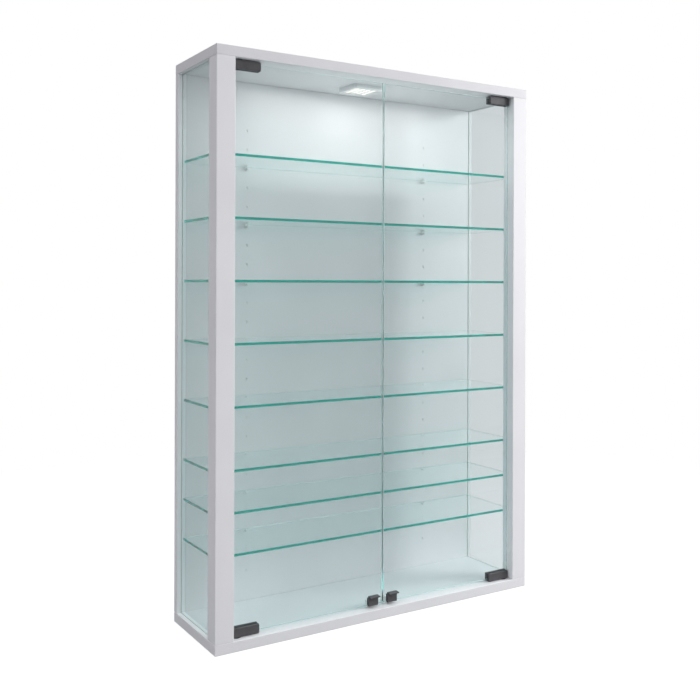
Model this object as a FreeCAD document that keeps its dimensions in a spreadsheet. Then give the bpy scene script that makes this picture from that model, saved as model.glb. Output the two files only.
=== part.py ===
"""A glazed wall display cabinet with two hinged glass doors, glass shelves and a small lamp.

Millimetres. The origin is the middle of the underside, +X is to the right, +Y to the back and +Z up.
"""
import FreeCAD, Part
import Sketcher
import math
import os

SIZES = {
    # Cabinet and boards
    "cabinet_width": 600,
    "cabinet_depth": 170,
    "cabinet_height": 900,
    "board_thickness": 16,
    "back_thickness": 12,
    "post_width": 30,
    "post_depth": 29,
    "board_edge": 0.6,
    # Side panes in their grooves
    "pane_thickness": 4,
    "pane_inset": 7,
    "groove_depth": 5,
    "groove_play": 0.2,
    "groove_end_play": 0.5,
    "glass_edge": 0.4,
    # Shelves and their pins
    "shelf_thickness": 4,
    "shelf_end_gap": 2,
    "shelf_front_gap": 1,
    "shelf_back_gap": 1,
    "hole_row_foot": 51,
    "hole_row_head": 81,
    "back_hole_inset": 119,
    "post_hole_inset": 8,
    "pin_radius": 2.5,
    "pin_reach": 8,
    "pin_bury": 8.5,
    "pin_end_play": 0.5,
    "pin_flat_height": 2,
    "pin_play": 0.05,
    # Doors
    "door_thickness": 4,
    "door_recess": 13,
    "door_side_gap": 2,
    "door_meeting_gap": 3,
    "door_end_gap": 5,
    # Clamp hinges and their bushes
    "hinge_length": 43.5,
    "hinge_height": 14,
    "hinge_side_gap": 2.5,
    "hinge_panel_gap": 1,
    "hinge_front_wall": 3,
    "hinge_rear_wall": 4,
    "hinge_web_play": 0.3,
    "hinge_corner": 2.2,
    "hinge_round": 0.8,
    "liner_thickness": 0.5,
    "plate_thickness": 1.5,
    "plate_margin": 0.4,
    "plate_room": 1,
    "clamp_screw_radius": 2,
    "clamp_screw_inset": 9,
    "clamp_screw_spacing": 18,
    "clamp_screw_sink": 0.4,
    "pivot_inset": 11,
    "pivot_radius": 2.5,
    "pivot_reach": 8,
    "pivot_play": 0.06,
    "bush_radius": 4.5,
    "bush_depth": 10,
    "bush_floor": 1.2,
    "bush_flange_radius": 6,
    "bush_flange_thickness": 0.7,
    "press_play": 0.02,
    # Clip handles
    "handle_width": 18,
    "handle_inset": 9.5,
    "handle_sheet": 1.2,
    "handle_height": 15.5,
    "handle_face": 2.4,
    "handle_lip_reach": 9.5,
    "handle_lip_height": 1.6,
    "handle_lip_slope": 0.8,
    "handle_lip_root": 1.5,
    "handle_back_height": 12,
    "handle_round": 0.5,
    # Magnetic catches
    "catch_width": 12,
    "catch_depth": 12,
    "catch_height": 10,
    "catch_gap": 0.3,
    "catch_round": 1,
    "magnet_width": 8,
    "magnet_depth": 4,
    "magnet_height": 6,
    "magnet_lift": 3.2,
    "magnet_proud": 0.5,
    "magnet_play": 0.1,
    "catch_screw_inset": 4.5,
    "catch_screw_seat": 4,
    # Lamp
    "lamp_width": 56,
    "lamp_depth": 56,
    "lamp_height": 8,
    "lamp_set_back": 88,
    "lamp_corner": 4,
    "lamp_wall": 3,
    "lamp_roof": 1.5,
    "cover_thickness": 1.5,
    "cover_ledge": 1,
    "cover_play": 0.1,
    "circuit_width": 36,
    "circuit_thickness": 1.2,
    "chip_width": 3,
    "chip_height": 1,
    "chip_pitch": 10.5,
    "lamp_screw_offset": 21.8,
    "lead_offset": 21.5,
    "lead_radius": 2.5,
    "lead_hole_play": 0.5,
    "grommet_radius": 4.5,
    "grommet_flange_radius": 7,
    "grommet_flange_thickness": 1,
    # Small pan head screws of the lamp and the catches
    "small_screw_radius": 1.5,
    "small_screw_length": 10,
    "small_head_radius": 2.6,
    "small_head_height": 1.6,
    # Wall hanger plates and their countersunk screws
    "hanger_inset": 70,
    "hanger_drop": 70,
    "hanger_width": 20,
    "hanger_height": 48,
    "hanger_thickness": 2,
    "hanger_entry_height": 18,
    "hanger_play": 0.1,
    "keyhole_entry_radius": 4.5,
    "keyhole_slot_radius": 2.5,
    "keyhole_rise": 12,
    "keyhole_margin": 2.5,
    "keyhole_head_room": 6,
    "hanger_screw_inset": 5,
    "hanger_screw_radius": 1.5,
    "hanger_screw_length": 9,
    "hanger_head_radius": 2.9,
    "hanger_head_height": 1.4,
    # Screws, plugs and dowels that join the boards
    "screw_radius": 2,
    "screw_length": 40,
    "screw_head_radius": 4,
    "screw_head_height": 2.5,
    "screw_well_radius": 5,
    "screw_well_depth": 4,
    "post_screw_inset": 8,
    "back_screw_inset": 30,
    "screw_play": 0.05,
    "plug_play": 0.05,
    "dowel_radius": 4,
    "dowel_length": 30,
    "dowel_in_panel": 10,
    "dowel_inset": 19,
    "dowel_play": 0.05,
    "blind_end_play": 0.5,
    # Extra length of every cutter past the face that it opens
    "overrun": 2,
}

HOLE_COUNT = 24
SHELF_HOLES = (21, 18, 15, 12, 9, 6, 4, 2)
CHIP_ROW_COUNT = 4
BACK_SCREW_COUNT = 4
SIDES = {"left": -1, "right": 1}
LEVELS = ("upper", "lower")
# How many ends on the front an edge has that runs back from it, or round it
RUNNING_BACK, ROUND_FRONT = 1, 2

ALONG_Y = FreeCAD.Vector(0, 1, 0)
UP = FreeCAD.Vector(0, 0, 1)

doc = FreeCAD.newDocument("display_cabinet")
sheet = doc.addObject("Spreadsheet::Sheet", "sizes")
for row, (alias, number) in enumerate(SIZES.items(), start=1):
    sheet.set(f"A{row}", alias)
    sheet.set(f"B{row}", str(number))
    sheet.setAlias(f"B{row}", alias)
doc.recompute()
pieces = []

# Planes that several pieces share, as expressions of the sheet
HALF_WIDTH = "(sizes.cabinet_width / 2)"
FRONT = "(-sizes.cabinet_depth / 2)"
BACK = "(sizes.cabinet_depth / 2)"
FLOOR = "sizes.board_thickness"
CEILING = "(sizes.cabinet_height - sizes.board_thickness)"
POST_INNER = f"({HALF_WIDTH} - sizes.post_width)"
POST_MIDDLE = f"({HALF_WIDTH} - sizes.post_width / 2)"
POST_REAR = f"({FRONT} + sizes.post_depth)"
BACK_FACE = f"({BACK} - sizes.back_thickness)"
PANE_OUTER = f"({HALF_WIDTH} - sizes.pane_inset)"
PANE_INNER = f"({PANE_OUTER} - sizes.pane_thickness)"
DOOR_FRONT = f"({FRONT} + sizes.door_recess)"
DOOR_BACK = f"({DOOR_FRONT} + sizes.door_thickness)"
DOOR_MIDDLE = f"({DOOR_FRONT} + sizes.door_thickness / 2)"
PIVOT = f"({POST_INNER} - sizes.pivot_inset)"


def value(expression):
    """The number that an expression of the sheet gives."""
    return float(sheet.evalExpression(expression))


def place(x, y, z, direction=UP):
    """A placement at a point given as expressions, with +Z turned to a direction."""
    return FreeCAD.Placement(FreeCAD.Vector(value(x), value(y), value(z)), FreeCAD.Rotation(UP, direction))


def reach(side, near, far):
    """The span on X from near to far, measured from the middle towards one side."""
    return (near, far) if side > 0 else (f"-({far})", f"-({near})")


def from_panel(level, distance):
    """A height at a distance inwards from the inner face of the top or bottom panel."""
    return f"{CEILING} - ({distance})" if level == "upper" else f"{FLOOR} + ({distance})"


def off_panel(level, near, far):
    """The span on Z between two distances from the inner face of the top or bottom panel."""
    ends = (from_panel(level, near), from_panel(level, far))
    return ends[::-1] if level == "upper" else ends


def around(middle, width):
    """The span of a width about a middle."""
    return f"{middle} - ({width}) / 2", f"{middle} + ({width}) / 2"


def block(label, x, y, z):
    """A square-edged block between two planes on each axis."""
    solid = doc.addObject("Part::Box", label)
    for size, axis, (low, high) in (("Length", "x", x), ("Width", "y", y), ("Height", "z", z)):
        solid.setExpression(size, f"({high}) - ({low})")
        solid.setExpression(f".Placement.Base.{axis}", low)
    return solid


def rod(label, radius, x, y, z, length, direction=UP):
    """A round rod that starts at a point and runs along a direction."""
    solid = doc.addObject("Part::Cylinder", label)
    solid.Placement = FreeCAD.Placement(FreeCAD.Vector(), FreeCAD.Rotation(UP, direction))
    solid.setExpression("Radius", radius)
    solid.setExpression("Height", length)
    for axis, start in (("x", x), ("y", y), ("z", z)):
        solid.setExpression(f".Placement.Base.{axis}", start)
    return solid


def drill(label, radius, x, y, z):
    """An upright round cutter between two heights."""
    low, high = z
    return rod(label, radius, x, y, low, f"({high}) - ({low})")


def eased(blank, size):
    """A block with every edge broken by a small flat."""
    doc.recompute()
    solid = doc.addObject("Part::Chamfer", f"{blank.Label}_eased")
    solid.Base = blank
    solid.Edges = [(number, value(size), value(size)) for number in range(1, len(blank.Shape.Edges) + 1)]
    return solid


def rounded(blank, radius):
    """A block with its four upright edges rounded."""
    doc.recompute()
    solid = doc.addObject("Part::Fillet", f"{blank.Label}_rounded")
    solid.Base = blank
    solid.Edges = [(number, value(radius), value(radius)) for number, edge in enumerate(blank.Shape.Edges, start=1)
                   if not math.isclose(edge.Vertexes[0].Z, edge.Vertexes[1].Z)]
    return solid


def joined(label, solids):
    """Several touching or overlapping solids as one."""
    solid = doc.addObject("Part::MultiFuse", label)
    solid.Shapes = solids
    return solid


def cut(label, base, cutters):
    """A solid with a list of separate cutters taken away."""
    tool = doc.addObject("Part::Compound", f"{label}_cutters")
    tool.Links = cutters
    solid = doc.addObject("Part::Cut", label)
    solid.Base = base
    solid.Tool = tool
    return solid


def copies(label, master, places):
    """A copy of one solid at each place, as a group of separate solids."""
    doc.recompute()
    group = doc.addObject("Part::Feature", label)
    group.Shape = Part.makeCompound([master.Shape.transformed(spot.toMatrix(), True) for spot in places])
    return group


def outline(body, label, points):
    """A closed sketch of straight lines on a body's YZ plane, through points given as expressions."""
    sketch = body.newObject("Sketcher::SketchObject", label)
    plane = next(feature for feature in body.Origin.OriginFeatures if feature.Role == "YZ_Plane")
    sketch.AttachmentSupport = [(plane, "")]
    sketch.MapMode = "FlatFace"
    corners = [FreeCAD.Vector(value(across), value(up), 0) for across, up in points]
    for number, corner in enumerate(corners):
        sketch.addGeometry(Part.LineSegment(corner, corners[(number + 1) % len(corners)]))
    for number in range(len(corners)):
        sketch.addConstraint(Sketcher.Constraint("Coincident", number, 2, (number + 1) % len(corners), 1))
    for number, (across, up) in enumerate(points):
        for kind, expression in (("DistanceX", across), ("DistanceY", up)):
            constraint = Sketcher.Constraint(kind, number, 1, value(expression))
            index = sketch.addConstraint(constraint)
            sketch.setExpression(f"Constraints[{index}]", expression)
    return sketch


def extrusion(label, start, length, points):
    """A body of constant section along X, from its outline on the YZ plane."""
    body = doc.addObject("PartDesign::Body", label)
    body.setExpression(".Placement.Base.x", start)
    sketch = outline(body, f"{label}_outline", points)
    pad = body.newObject("PartDesign::Pad", f"{label}_pad")
    pad.Profile = sketch
    pad.setExpression("Length", length)
    doc.recompute()
    return body, pad


def soften_front(body, base, radius, ends):
    """Rounds the edges of a body that have this many of their ends on its front."""
    front = min(vertex.Y for vertex in base.Shape.Vertexes)
    fillet = body.newObject("PartDesign::Fillet", f"{base.Label}_softened")
    fillet.Base = (base, [f"Edge{number}" for number, edge in enumerate(base.Shape.Edges, start=1)
                          if sum(math.isclose(vertex.Y, front) for vertex in edge.Vertexes) == ends])
    fillet.setExpression("Radius", radius)
    doc.recompute()
    return fillet


def pan_screw(label, radius, length, head_radius, head_height):
    """A screw with a flat head on the origin plane and its shank below."""
    shank = rod(f"{label}_shank", radius, "0", "0", f"-({length})", length)
    head = rod(f"{label}_head", head_radius, "0", "0", "0", head_height)
    return joined(label, [shank, head])


def add(label, solid):
    """Names a finished piece and puts it on the list of pieces."""
    solid.Label = label
    pieces.append(solid)


# Shelf pin hole rows, board screws and dowels, which the boards are drilled for
FIRST_HOLE = f"({FLOOR} + sizes.hole_row_foot)"
HOLE_PITCH = f"(({CEILING} - sizes.hole_row_head - {FIRST_HOLE}) / {HOLE_COUNT - 1})"
hole_heights = [f"{FIRST_HOLE} + {number} * {HOLE_PITCH}" for number in range(HOLE_COUNT)]
shelf_pin_heights = [hole_heights[number] for number in SHELF_HOLES]
BACK_HOLE = f"({HALF_WIDTH} - sizes.back_hole_inset)"
POST_HOLE = f"({POST_INNER} + sizes.post_hole_inset)"
PIN_HOLE_RADIUS = "sizes.pin_radius + sizes.pin_play"
PIN_HOLE_DEPTH = "sizes.pin_bury + sizes.pin_end_play"

BACK_MIDDLE = f"({BACK} - sizes.back_thickness / 2)"
POST_SCREW = f"({FRONT} + sizes.post_screw_inset)"
BACK_SCREW_END = f"({HALF_WIDTH} - sizes.back_screw_inset)"
DOWEL = f"({FRONT} + sizes.dowel_inset)"
post_screws = {name: (f"{sign} * {POST_MIDDLE}", POST_SCREW) for name, sign in SIDES.items()}
post_dowels = {name: (f"{sign} * {POST_MIDDLE}", DOWEL) for name, sign in SIDES.items()}
back_screws = [(f"{BACK_SCREW_END} * ({2 * number / (BACK_SCREW_COUNT - 1)} - 1)", BACK_MIDDLE)
               for number in range(BACK_SCREW_COUNT)]
panel_screws = list(post_screws.values()) + back_screws

SCREW_HOLE_RADIUS = "sizes.screw_radius + sizes.screw_play"
SCREW_BITE = "(sizes.screw_length - sizes.board_thickness + sizes.screw_well_depth + sizes.blind_end_play)"
DOWEL_HOLE_RADIUS = "sizes.dowel_radius + sizes.dowel_play"
DOWEL_BITE = "(sizes.dowel_length - sizes.dowel_in_panel + sizes.blind_end_play)"


def end_holes(label, level, screws, dowels):
    """Cutters for screws and dowels that enter the end of a post or of the back panel."""
    cutters = []
    for number, (x, y) in enumerate(screws):
        span = off_panel(level, "-sizes.overrun", SCREW_BITE)
        cutters.append(drill(f"{label}_{level}_pilot_{number}", SCREW_HOLE_RADIUS, x, y, span))
    for number, (x, y) in enumerate(dowels):
        span = off_panel(level, "-sizes.overrun", DOWEL_BITE)
        cutters.append(drill(f"{label}_{level}_dowel_hole_{number}", DOWEL_HOLE_RADIUS, x, y, span))
    return cutters


def panel_holes(label, level):
    """Cutters for one panel: screw wells, dowels, pivot bushes and the grooves of the side panes."""
    cutters = []
    for number, (x, y) in enumerate(panel_screws):
        through = off_panel(level, "-sizes.board_thickness", "sizes.overrun")
        well = off_panel(level, "-sizes.board_thickness - sizes.overrun",
                         "sizes.screw_well_depth - sizes.board_thickness")
        shaft = drill(f"{label}_screw_hole_{number}", SCREW_HOLE_RADIUS, x, y, through)
        sink = drill(f"{label}_screw_well_{number}", "sizes.screw_well_radius", x, y, well)
        cutters.append(joined(f"{label}_screw_cut_{number}", [shaft, sink]))
    for number, (x, y) in enumerate(post_dowels.values()):
        span = off_panel(level, "-sizes.dowel_in_panel - sizes.blind_end_play", "sizes.overrun")
        cutters.append(drill(f"{label}_dowel_hole_{number}", DOWEL_HOLE_RADIUS, x, y, span))
    for name, sign in SIDES.items():
        span = off_panel(level, "-sizes.bush_depth", "sizes.overrun")
        radius = "sizes.bush_radius + sizes.press_play"
        cutters.append(drill(f"{label}_{name}_bush_hole", radius, f"{sign} * {PIVOT}", DOOR_MIDDLE, span))
        across = reach(sign, f"{PANE_INNER} - sizes.groove_play", f"{PANE_OUTER} + sizes.groove_play")
        along = (f"{POST_REAR} - sizes.groove_depth", f"{BACK_FACE} + sizes.groove_depth")
        up = off_panel(level, "-sizes.groove_depth", "sizes.overrun")
        cutters.append(block(f"{label}_{name}_groove", across, along, up))
    return cutters


# Top and bottom panels
LAMP_MIDDLE = f"({FRONT} + sizes.lamp_set_back)"
LEAD = f"({LAMP_MIDDLE} + sizes.lead_offset)"
lamp_screw_spots = [(f"{sign} * sizes.lamp_screw_offset", LAMP_MIDDLE) for sign in SIDES.values()]
SMALL_HOLE_RADIUS = "sizes.small_screw_radius + sizes.screw_play"
HANDLE_MIDDLE = "(sizes.handle_inset + sizes.handle_width / 2)"
MAGNET_FRONT = f"({DOOR_BACK} + sizes.handle_sheet + sizes.catch_gap)"
CATCH_FRONT = f"({MAGNET_FRONT} + sizes.magnet_proud)"
CATCH_REAR = f"({CATCH_FRONT} + sizes.catch_depth)"
catch_screw_spots = {name: (f"{sign} * {HANDLE_MIDDLE}", f"{CATCH_REAR} - sizes.catch_screw_inset")
                     for name, sign in SIDES.items()}

across = (f"-{HALF_WIDTH}", HALF_WIDTH)
along = (FRONT, BACK)

top_cutters = panel_holes("top_panel", "upper")
lead_bore = drill("lead_bore", "sizes.grommet_radius + sizes.press_play", "0", LEAD,
                  (f"{CEILING} - sizes.overrun", "sizes.cabinet_height"))
lead_seat = drill("lead_seat", "sizes.grommet_flange_radius + sizes.press_play", "0", LEAD,
                  ("sizes.cabinet_height - sizes.grommet_flange_thickness", "sizes.cabinet_height + sizes.overrun"))
top_cutters.append(joined("lead_cut", [lead_bore, lead_seat]))
LAMP_SCREW_TIP = f"{CEILING} - sizes.lamp_roof + sizes.small_screw_length + sizes.blind_end_play"
for number, (x, y) in enumerate(lamp_screw_spots):
    top_cutters.append(drill(f"lamp_pilot_{number}", SMALL_HOLE_RADIUS, x, y,
                             (f"{CEILING} - sizes.overrun", LAMP_SCREW_TIP)))
top_blank = eased(block("top_panel_blank", across, along, (CEILING, "sizes.cabinet_height")), "sizes.board_edge")
add("top_panel", cut("top_panel", top_blank, top_cutters))

bottom_cutters = panel_holes("bottom_panel", "lower")
CATCH_SCREW_TIP = f"{FLOOR} + sizes.catch_screw_seat - sizes.small_screw_length - sizes.blind_end_play"
for name, (x, y) in catch_screw_spots.items():
    bottom_cutters.append(drill(f"{name}_catch_pilot", SMALL_HOLE_RADIUS, x, y,
                                (CATCH_SCREW_TIP, f"{FLOOR} + sizes.overrun")))
bottom_blank = eased(block("bottom_panel_blank", across, along, ("0", FLOOR)), "sizes.board_edge")
add("bottom_panel", cut("bottom_panel", bottom_blank, bottom_cutters))

# Front posts, each with a row of pin holes and the groove of a side pane in its rear face
for name, sign in SIDES.items():
    label = f"{name}_front_post"
    cutters = []
    for level in LEVELS:
        cutters += end_holes(label, level, [post_screws[name]], [post_dowels[name]])
    cutters.append(block(f"{label}_groove",
                         reach(sign, f"{PANE_INNER} - sizes.groove_play", f"{PANE_OUTER} + sizes.groove_play"),
                         (f"{POST_REAR} - sizes.groove_depth", f"{POST_REAR} + sizes.overrun"),
                         (f"{FLOOR} - sizes.overrun", f"{CEILING} + sizes.overrun")))
    bit = rod(f"{label}_pin_drill", PIN_HOLE_RADIUS, "0", f"-({PIN_HOLE_DEPTH})", "0",
              f"{PIN_HOLE_DEPTH} + sizes.overrun", ALONG_Y)
    cutters.append(copies(f"{label}_pin_holes", bit,
                          [place(f"{sign} * {POST_HOLE}", POST_REAR, height) for height in hole_heights]))
    blank = block(f"{label}_blank", reach(sign, POST_INNER, HALF_WIDTH), (FRONT, POST_REAR), (FLOOR, CEILING))
    add(label, cut(label, eased(blank, "sizes.board_edge"), cutters))

# Back panel, with two rows of pin holes, the grooves of the side panes and the beds of the hanger plates
HANGER_X = f"({HALF_WIDTH} - sizes.hanger_inset)"
HANGER_ENTRY = "(sizes.cabinet_height - sizes.hanger_drop)"
HANGER_FOOT = f"({HANGER_ENTRY} - sizes.hanger_entry_height)"
HANGER_HEAD = f"({HANGER_FOOT} + sizes.hanger_height)"
HANGER_FACE = f"({BACK} - sizes.hanger_thickness)"
KEYHOLE_TOP = f"({HANGER_ENTRY} + sizes.keyhole_rise)"
HANGER_HOLE_RADIUS = "sizes.hanger_screw_radius + sizes.screw_play"
hanger_screw_heights = (f"{HANGER_FOOT} + sizes.hanger_screw_inset", f"{HANGER_HEAD} - sizes.hanger_screw_inset")

cutters = []
for level in LEVELS:
    cutters += end_holes("back_panel", level, back_screws, [])
bit = rod("back_panel_pin_drill", PIN_HOLE_RADIUS, "0", "-sizes.overrun", "0",
          f"{PIN_HOLE_DEPTH} + sizes.overrun", ALONG_Y)
for name, sign in SIDES.items():
    cutters.append(copies(f"back_panel_{name}_pin_holes", bit,
                          [place(f"{sign} * {BACK_HOLE}", BACK_FACE, height) for height in hole_heights]))
    cutters.append(block(f"back_panel_{name}_groove",
                         reach(sign, f"{PANE_INNER} - sizes.groove_play", f"{PANE_OUTER} + sizes.groove_play"),
                         (f"{BACK_FACE} - sizes.overrun", f"{BACK_FACE} + sizes.groove_depth"),
                         (f"{FLOOR} - sizes.overrun", f"{CEILING} + sizes.overrun")))
    middle = f"{sign} * {HANGER_X}"
    bed = block(f"{name}_hanger_bed", around(middle, "sizes.hanger_width + 2 * sizes.hanger_play"),
                (HANGER_FACE, f"{BACK} + sizes.overrun"),
                (f"{HANGER_FOOT} - sizes.hanger_play", f"{HANGER_HEAD} + sizes.hanger_play"))
    room = block(f"{name}_hanger_room",
                 around(middle, "2 * (sizes.keyhole_entry_radius + sizes.keyhole_margin)"),
                 (f"{HANGER_FACE} - sizes.keyhole_head_room", BACK),
                 (f"{HANGER_ENTRY} - sizes.keyhole_entry_radius - sizes.keyhole_margin",
                  f"{KEYHOLE_TOP} + sizes.keyhole_entry_radius + sizes.keyhole_margin"))
    pilots = [rod(f"{name}_hanger_pilot_{number}", HANGER_HOLE_RADIUS, middle,
                  f"{BACK} - sizes.hanger_screw_length - sizes.blind_end_play", height,
                  "sizes.hanger_screw_length + sizes.blind_end_play", ALONG_Y)
              for number, height in enumerate(hanger_screw_heights)]
    cutters.append(joined(f"{name}_hanger_cut", [bed, room] + pilots))
blank = block("back_panel_blank", across, (BACK_FACE, BACK), (FLOOR, CEILING))
add("back_panel", cut("back_panel", eased(blank, "sizes.board_edge"), cutters))

# Side panes, standing on the floor of their grooves
for name, sign in SIDES.items():
    add(f"{name}_side_glass",
        block(f"{name}_side_glass", reach(sign, PANE_INNER, PANE_OUTER),
              (f"{POST_REAR} - sizes.groove_depth + sizes.groove_end_play",
               f"{BACK_FACE} + sizes.groove_depth - sizes.groove_end_play"),
              (f"{FLOOR} - sizes.groove_depth", f"{CEILING} + sizes.groove_depth - sizes.groove_end_play")))

# Shelves, numbered from the top, each lying on the flats of four pins
SHELF_HALF = f"({PANE_INNER} - sizes.shelf_end_gap)"
for number, height in enumerate(shelf_pin_heights, start=1):
    underside = f"({height} + sizes.pin_flat_height)"
    blank = block(f"glass_shelf_{number}_blank", (f"-{SHELF_HALF}", SHELF_HALF),
                  (f"{POST_REAR} + sizes.shelf_front_gap", f"{BACK_FACE} - sizes.shelf_back_gap"),
                  (underside, f"{underside} + sizes.shelf_thickness"))
    add(f"glass_shelf_{number}", eased(blank, "sizes.glass_edge"))

# Shelf pins: the master lies along Y, with its buried end towards the back and its flat upwards
pin_rod = rod("pin_rod", "sizes.pin_radius", "0", "-sizes.pin_reach", "0",
              "sizes.pin_reach + sizes.pin_bury", ALONG_Y)
pin_flat = block("pin_flat", around("0", "2 * (sizes.pin_radius + sizes.overrun)"),
                 ("-sizes.pin_reach - sizes.overrun", "0"),
                 ("sizes.pin_flat_height", "sizes.pin_radius + sizes.overrun"))
pin = cut("shelf_pin", pin_rod, [pin_flat])
half_turn = FreeCAD.Placement(FreeCAD.Vector(), FreeCAD.Rotation(UP, 180))
rear_spots = [place(f"{sign} * {BACK_HOLE}", BACK_FACE, height)
              for sign in SIDES.values() for height in shelf_pin_heights]
front_spots = [place(f"{sign} * {POST_HOLE}", POST_REAR, height).multiply(half_turn)
               for sign in SIDES.values() for height in shelf_pin_heights]
add("rear_shelf_pins", copies("rear_shelf_pins", pin, rear_spots))
add("front_shelf_pins", copies("front_shelf_pins", pin, front_spots))

# Pivot bushes, pressed into the panels with their flanges on the inner faces
BUSH_FLANGE = "sizes.bush_flange_thickness"
bush_places = [(f"{sign} * {PIVOT}", level) for sign in SIDES.values() for level in LEVELS]
bush_barrel = drill("bush_barrel", "sizes.bush_radius", "0", "0", ("-sizes.bush_depth", "0"))
bush_flange = drill("bush_flange", "sizes.bush_flange_radius", "0", "0", ("0", BUSH_FLANGE))
bush_bore = drill("bush_bore", "sizes.pivot_radius + sizes.pivot_play", "0", "0",
                  ("sizes.bush_floor - sizes.bush_depth", f"{BUSH_FLANGE} + sizes.overrun"))
bush = cut("pivot_bush", joined("bush_blank", [bush_barrel, bush_flange]), [bush_bore])
bush_spots = [place(x, DOOR_MIDDLE, CEILING if level == "upper" else FLOOR, -UP if level == "upper" else UP)
              for x, level in bush_places]
add("pivot_bushes", copies("pivot_bushes", bush, bush_spots))

# Doors, each with two clamp hinges and a clip handle
HINGE_OUTER = f"({POST_INNER} - sizes.hinge_side_gap)"
HINGE_INNER = f"({HINGE_OUTER} - sizes.hinge_length)"
SLOT_FRONT = f"({DOOR_FRONT} - sizes.liner_thickness)"
HINGE_FRONT = f"({SLOT_FRONT} - sizes.hinge_front_wall)"
PLATE_REAR = f"({DOOR_BACK} + sizes.plate_thickness)"
SLOT_REAR = f"({PLATE_REAR} + sizes.plate_room)"
HINGE_REAR = f"({SLOT_REAR} + sizes.hinge_rear_wall)"
HINGE_NEAR = "sizes.hinge_panel_gap"
HINGE_FAR = "(sizes.hinge_panel_gap + sizes.hinge_height)"
WEB = "(sizes.door_end_gap - sizes.hinge_web_play)"
CLAMP_MIDDLE = f"((sizes.door_end_gap + {HINGE_FAR}) / 2)"
CLAMP_SCREW_LENGTH = f"({HINGE_REAR} - {PLATE_REAR} - sizes.clamp_screw_sink)"
GLASS_FOOT = f"({FLOOR} + sizes.door_end_gap)"
HANDLE_FOOT = f"({GLASS_FOOT} - sizes.handle_sheet)"
HANDLE_HEAD = f"({GLASS_FOOT} + sizes.handle_height)"
HANDLE_FRONT = f"({DOOR_FRONT} - sizes.handle_face)"
LIP_FRONT = f"({DOOR_FRONT} - sizes.handle_lip_reach)"
LIP_TOP = f"({HANDLE_HEAD} - sizes.handle_lip_slope)"
LIP_FOOT = f"({LIP_TOP} - sizes.handle_lip_height)"
LIP_ROOT = f"({LIP_FOOT} - sizes.handle_lip_root)"
HANDLE_REAR = f"({DOOR_BACK} + sizes.handle_sheet)"
HANDLE_BACK_TOP = f"({GLASS_FOOT} + sizes.handle_back_height)"


def clamp_screw_places(sign, level):
    """The two spots where a hinge's clamping screws meet its pressure plate."""
    first = f"({HINGE_INNER} + sizes.clamp_screw_inset)"
    return [(f"{sign} * ({first} + {number} * sizes.clamp_screw_spacing)", from_panel(level, CLAMP_MIDDLE))
            for number in range(2)]


def hinge(name, sign, level):
    """The channel of one clamp hinge, open towards the glass, with its pivot and screw holes."""
    label = f"{name}_{level}_hinge"
    near, web, far = (from_panel(level, distance) for distance in (HINGE_NEAR, WEB, HINGE_FAR))
    section = [(HINGE_FRONT, near), (HINGE_REAR, near), (HINGE_REAR, far), (SLOT_REAR, far),
               (SLOT_REAR, web), (SLOT_FRONT, web), (SLOT_FRONT, far), (HINGE_FRONT, far)]
    start, _ = reach(sign, HINGE_INNER, HINGE_OUTER)
    body, pad = extrusion(f"{label}_channel", start, "sizes.hinge_length", section)
    corners = soften_front(body, pad, "sizes.hinge_corner", RUNNING_BACK)
    soften_front(body, corners, "sizes.hinge_round", ROUND_FRONT)
    pivot_hole = drill(f"{label}_pivot_hole", "sizes.pivot_radius + sizes.press_play", f"{sign} * {PIVOT}",
                       DOOR_MIDDLE, off_panel(level, f"{HINGE_NEAR} - sizes.overrun", f"{WEB} + sizes.overrun"))
    screw_holes = [rod(f"{label}_screw_hole_{number}", "sizes.clamp_screw_radius + sizes.screw_play", x, PLATE_REAR,
                       z, f"{HINGE_REAR} - {PLATE_REAR} + sizes.overrun", ALONG_Y)
                   for number, (x, z) in enumerate(clamp_screw_places(sign, level))]
    return cut(label, body, [pivot_hole] + screw_holes)


def handle(name, sign):
    """A clip bent round the lower edge of the door glass, with a finger lip along the top of its front."""
    label = f"{name}_handle"
    section = [(HANDLE_FRONT, HANDLE_FOOT), (HANDLE_REAR, HANDLE_FOOT), (HANDLE_REAR, HANDLE_BACK_TOP),
               (DOOR_BACK, HANDLE_BACK_TOP), (DOOR_BACK, GLASS_FOOT), (DOOR_FRONT, GLASS_FOOT),
               (DOOR_FRONT, HANDLE_HEAD), (LIP_FRONT, LIP_TOP), (LIP_FRONT, LIP_FOOT), (HANDLE_FRONT, LIP_ROOT)]
    start, _ = reach(sign, "sizes.handle_inset", "sizes.handle_inset + sizes.handle_width")
    body, pad = extrusion(label, start, "sizes.handle_width", section)
    soften_front(body, pad, "sizes.handle_round", ROUND_FRONT)
    return body


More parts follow.
